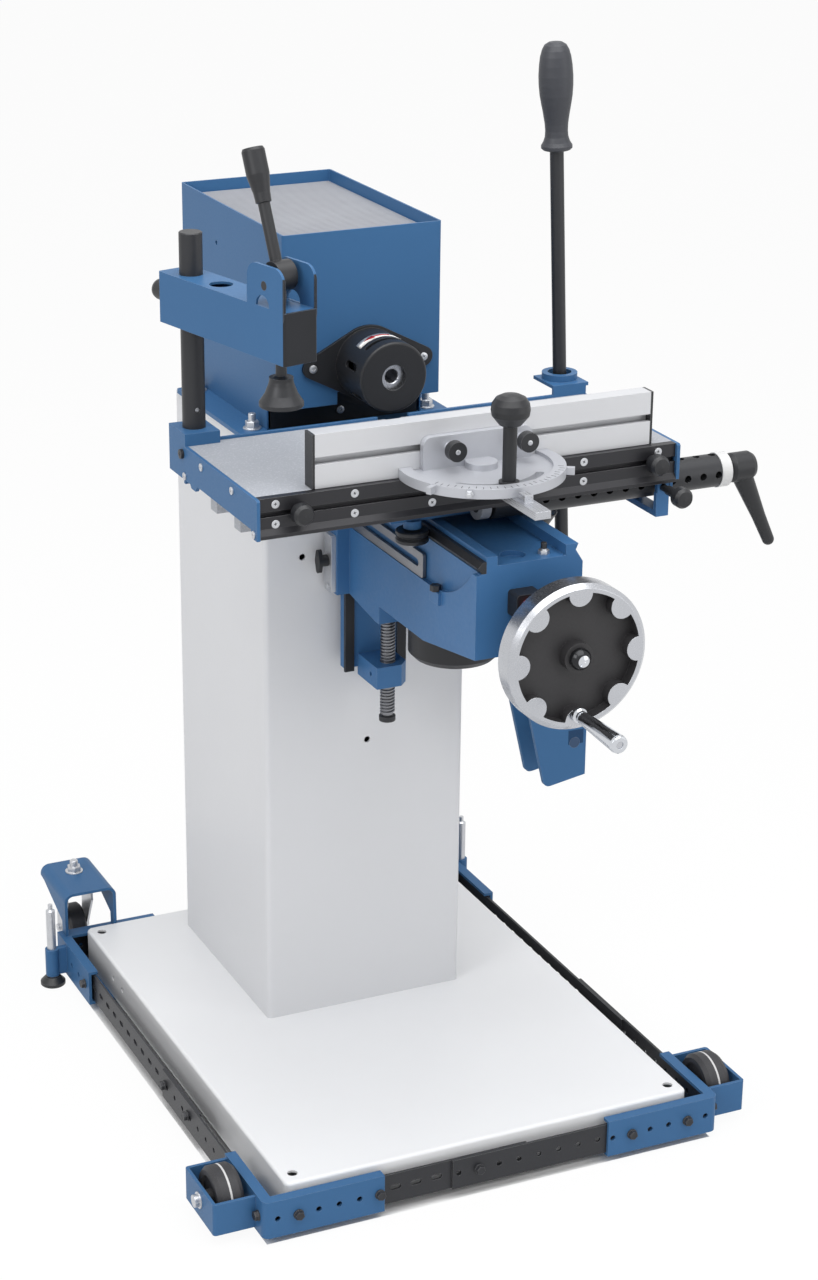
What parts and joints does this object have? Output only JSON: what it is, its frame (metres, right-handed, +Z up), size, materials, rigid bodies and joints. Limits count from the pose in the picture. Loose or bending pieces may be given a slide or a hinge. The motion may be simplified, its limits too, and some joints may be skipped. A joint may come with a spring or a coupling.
{
  "type": "horizontal slot mortiser",
  "caption": "Free-standing woodworking slot mortiser: column with motor head and guarded chuck, lever-fed compound table with clamp and mitre fence, on a mobile frame.",
  "frame": {"origin": "on the floor, under the middle of the bounding box at rest", "axes": "+X to the machine's right seen from the operator, +Y to the back, +Z up"},
  "size_m": [0.7535, 0.963, 1.259],
  "materials": {
    "white_paint": "smooth powder coat",
    "blue_paint": "semi-gloss paint",
    "cast_blue": "painted casting",
    "motor_black": "painted casting",
    "black_plastic": "moulded, fine grain",
    "black_oxide": "blackened steel",
    "bright_steel": "turned and ground",
    "zinc_steel": "zinc plated",
    "polished_aluminium": "polished rim",
    "chrome_handle": "chrome plated",
    "anodised_aluminium": "clear anodised extrusion",
    "table_grey": "speckled coating",
    "black_anodised": "black anodised extrusion",
    "mitre_alloy": "cast, machined",
    "red_plastic": "moulded",
    "wheel_rubber": "moulded tread"
  },
  "bodies": {
    "base": {"base_tray": "white_paint", "column": "white_paint", "motor_plate": "blue_paint", "motor": "motor_black", "motor_cover": "blue_paint", "chuck_guard": "black_plastic", "column_way": "cast_blue", "corner_front_left": "blue_paint", "corner_front_right": "blue_paint", "corner_rear_left": "blue_paint", "corner_rear_right": "blue_paint", "rails_across": "black_oxide", "rails_along": "black_oxide"},
    "spindle": {"spindle_chuck": "bright_steel"},
    "knee_unit": {"knee": "cast_blue", "bed_rail": "black_oxide", "depth_stop": "zinc_steel", "gear_pot": "black_plastic", "gib_plate": "zinc_steel", "lever_fork": "blue_paint", "switch_box": "black_plastic"},
    "rise_screw": {"leadscrew": "black_oxide"},
    "hand_wheel": {"handwheel": "polished_aluminium", "wheel_shaft": "bright_steel"},
    "crank": {"crank_handle": "chrome_handle"},
    "lock": {"knee_lock": "black_plastic"},
    "button": {"switch_button": "red_plastic"},
    "carriage_unit": {"carriage": "cast_blue"},
    "roller_fl": {"roller_front_left": "black_oxide"},
    "roller_fr": {"roller_front_right": "black_oxide"},
    "roller_rl": {"roller_rear_left": "black_oxide"},
    "roller_rr": {"roller_rear_right": "black_oxide"},
    "plunger": {"index_plunger": "black_plastic"},
    "table": {"table_top": "table_grey", "table_bed": "table_grey", "table_frame": "blue_paint", "front_rail": "black_anodised"},
    "stop_left": {"rail_stop_left": "black_plastic"},
    "stop_right": {"rail_stop_right": "black_plastic"},
    "post": {"clamp_post": "black_oxide"},
    "arm": {"clamp_arm": "blue_paint"},
    "arm_lock": {"arm_knob": "black_plastic"},
    "cam": {"cam_lever": "black_oxide"},
    "foot": {"clamp_foot": "black_oxide"},
    "rod": {"index_rod": "black_oxide"},
    "rod_clamp": {"rod_lever": "black_plastic"},
    "mitre_slide_bar": {"mitre_bar": "bright_steel"},
    "protractor": {"mitre_head": "mitre_alloy"},
    "mitre_lock": {"mitre_knob": "black_plastic"},
    "fence_bar": {"fence": "anodised_aluminium"},
    "cross_block": {"lever_block": "bright_steel"},
    "lever": {"feed_lever": "black_oxide"},
    "wheel_left": {"front_wheel_left": "wheel_rubber"},
    "wheel_right": {"front_wheel_right": "wheel_rubber"},
    "fork_left": {"caster_fork_left": "zinc_steel"},
    "fork_right": {"caster_fork_right": "zinc_steel"},
    "caster_left": {"caster_wheel_left": "wheel_rubber"},
    "caster_right": {"caster_wheel_right": "wheel_rubber"},
    "foot_left": {"level_foot_left": "zinc_steel"},
    "foot_right": {"level_foot_right": "zinc_steel"}
  },
  "joints": [
    {"name": "spindle_spin", "type": "hinge", "parent": "base", "child": "spindle", "pos_m": [-0.01925, 0.1245, 0.895], "axis": [0, 1, 0], "continuous": true},
    {"name": "knee_lift", "type": "slide", "parent": "base", "child": "knee_unit", "axis": [0, 0, 1], "range_m": [-0.044, 0.025]},
    {"name": "leadscrew_turn", "type": "hinge", "parent": "knee_unit", "child": "rise_screw", "pos_m": [-0.02525, -0.0215, 0.62], "axis": [0, 0, 1], "range_deg": [-3960, 2250]},
    {"name": "handwheel_turn", "type": "hinge", "parent": "knee_unit", "child": "hand_wheel", "pos_m": [0.02975, -0.3715, 0.6755], "axis": [0, 1, 0], "range_deg": [-3960, 2250]},
    {"name": "crank_spin", "type": "hinge", "parent": "hand_wheel", "child": "crank", "pos_m": [0.02975, -0.4315, 0.6115], "axis": [0, 1, 0], "continuous": true},
    {"name": "knee_lock_turn", "type": "hinge", "parent": "knee_unit", "child": "lock", "pos_m": [-0.08025, 0.0245, 0.669], "axis": [1, 0, 0], "range_deg": [-90, 90]},
    {"name": "switch_press", "type": "slide", "parent": "knee_unit", "child": "button", "axis": [0, 1, 0], "range_m": [0, 0.003], "stiffness_N_per_m": 800},
    {"name": "carriage_depth", "type": "slide", "parent": "knee_unit", "child": "carriage_unit", "axis": [0, -1, 0], "range_m": [0, 0.11]},
    {"name": "roller_fl_spin", "type": "hinge", "parent": "carriage_unit", "child": "roller_fl", "pos_m": [-0.07575, -0.1915, 0.767], "axis": [0, 0, 1], "range_deg": [0, 330]},
    {"name": "roller_rl_spin", "type": "hinge", "parent": "carriage_unit", "child": "roller_rl", "pos_m": [-0.07575, -0.0755, 0.767], "axis": [0, 0, 1], "range_deg": [0, 330]},
    {"name": "roller_fr_spin", "type": "hinge", "parent": "carriage_unit", "child": "roller_fr", "pos_m": [0.07975, -0.1915, 0.767], "axis": [0, 0, 1], "range_deg": [-300, 0]},
    {"name": "roller_rr_spin", "type": "hinge", "parent": "carriage_unit", "child": "roller_rr", "pos_m": [0.07975, -0.0755, 0.767], "axis": [0, 0, 1], "range_deg": [-300, 0]},
    {"name": "index_plunger_slide", "type": "slide", "parent": "carriage_unit", "child": "plunger", "axis": [0, 1, 0], "range_m": [0, 0.011]},
    {"name": "table_cross", "type": "slide", "parent": "carriage_unit", "child": "table", "axis": [1, 0, 0], "range_m": [-0.08, 0.08]},
    {"name": "rail_stop_left_slide", "type": "slide", "parent": "table", "child": "stop_left", "axis": [1, 0, 0], "range_m": [-0.02, 0.14]},
    {"name": "rail_stop_right_slide", "type": "slide", "parent": "table", "child": "stop_right", "axis": [1, 0, 0], "range_m": [-0.14, 0.01]},
    {"name": "post_swing", "type": "hinge", "parent": "table", "child": "post", "pos_m": [-0.26325, -0.0175, 0.852], "axis": [0, 0, 1], "range_deg": [-60, 60]},
    {"name": "arm_slide", "type": "slide", "parent": "post", "child": "arm", "axis": [0, 0, -1], "range_m": [-0.03, 0.055]},
    {"name": "arm_lock_turn", "type": "hinge", "parent": "arm", "child": "arm_lock", "pos_m": [-0.2733, 0.02636, 1.0105], "axis": [0.2233, -0.9748, 0], "range_deg": [-180, 180]},
    {"name": "cam_turn", "type": "hinge", "parent": "arm", "child": "cam", "pos_m": [-0.22574, -0.18126, 1.062], "axis": [0.9748, 0.2233, 0], "range_deg": [0, 100]},
    {"name": "foot_press", "type": "slide", "parent": "arm", "child": "foot", "axis": [0, 0, -1], "range_m": [0, 0.0099]},
    {"name": "rod_turn", "type": "hinge", "parent": "table", "child": "rod", "pos_m": [0.07475, -0.2155, 0.802], "axis": [1, 0, 0], "continuous": true},
    {"name": "rod_lever_turn", "type": "hinge", "parent": "rod", "child": "rod_clamp", "pos_m": [0.31975, -0.2155, 0.802], "axis": [1, 0, 0], "range_deg": [-90, 90]},
    {"name": "mitre_travel", "type": "slide", "parent": "table", "child": "mitre_slide_bar", "axis": [0, 1, 0], "range_m": [0, 0.07]},
    {"name": "mitre_swing", "type": "hinge", "parent": "mitre_slide_bar", "child": "protractor", "pos_m": [-0.02725, -0.2605, 0.852], "axis": [0, 0, 1], "range_deg": [-45, 45]},
    {"name": "mitre_knob_turn", "type": "hinge", "parent": "mitre_slide_bar", "child": "mitre_lock", "pos_m": [-0.02725, -0.3255, 0.852], "axis": [0, 0, 1], "range_deg": [-180, 180]},
    {"name": "fence_shift", "type": "slide", "parent": "protractor", "child": "fence_bar", "axis": [-1, 0, 0], "range_m": [-0.05, 0.05]},
    {"name": "lever_block_tilt", "type": "hinge", "parent": "knee_unit", "child": "cross_block", "pos_m": [0.22475, -0.0055, 0.405], "axis": [0, 1, 0], "range_deg": [-10.1, 10.1]},
    {"name": "lever_tilt", "type": "hinge", "parent": "cross_block", "child": "lever", "pos_m": [0.22475, -0.0055, 0.405], "axis": [1, 0, 0], "range_deg": [0, 13.9]},
    {"name": "front_wheel_left_spin", "type": "hinge", "parent": "base", "child": "wheel_left", "pos_m": [-0.34275, -0.2685, 0.036], "axis": [1, 0, 0], "continuous": true},
    {"name": "caster_left_swivel", "type": "hinge", "parent": "base", "child": "fork_left", "pos_m": [-0.27725, 0.4365, 0.11], "axis": [0, 0, 1], "continuous": true},
    {"name": "caster_left_spin", "type": "hinge", "parent": "fork_left", "child": "caster_left", "pos_m": [-0.27725, 0.4515, 0.0305], "axis": [1, 0, 0], "continuous": true},
    {"name": "level_left_screw", "type": "slide", "parent": "base", "child": "foot_left", "axis": [0, 0, 1], "range_m": [-0.015, 0]},
    {"name": "front_wheel_right_spin", "type": "hinge", "parent": "base", "child": "wheel_right", "pos_m": [0.29225, -0.2685, 0.036], "axis": [1, 0, 0], "continuous": true},
    {"name": "caster_right_swivel", "type": "hinge", "parent": "base", "child": "fork_right", "pos_m": [0.22675, 0.4365, 0.11], "axis": [0, 0, 1], "continuous": true},
    {"name": "caster_right_spin", "type": "hinge", "parent": "fork_right", "child": "caster_right", "pos_m": [0.22675, 0.4515, 0.0305], "axis": [1, 0, 0], "continuous": true},
    {"name": "level_right_screw", "type": "slide", "parent": "base", "child": "foot_right", "axis": [0, 0, 1], "range_m": [-0.015, 0]}
  ],
  "couplings": [
    {"joint": "handwheel_turn", "follows": "knee_lift", "rad_per_m": 1570.8},
    {"joint": "leadscrew_turn", "follows": "knee_lift", "rad_per_m": 1570.8},
    {"joint": "roller_fl_spin", "follows": "carriage_depth", "rad_per_m": 50},
    {"joint": "roller_rl_spin", "follows": "carriage_depth", "rad_per_m": 50},
    {"joint": "roller_fr_spin", "follows": "carriage_depth", "rad_per_m": -45.455},
    {"joint": "roller_rr_spin", "follows": "carriage_depth", "rad_per_m": -45.455},
    {"joint": "lever_tilt", "follows": "carriage_depth", "rad_per_m": 2.1505},
    {"joint": "lever_block_tilt", "follows": "table_cross", "rad_per_m": 2.1505},
    {"joint": "foot_press", "follows": "cam_turn", "m_per_rad": 0.0056}
  ]
}
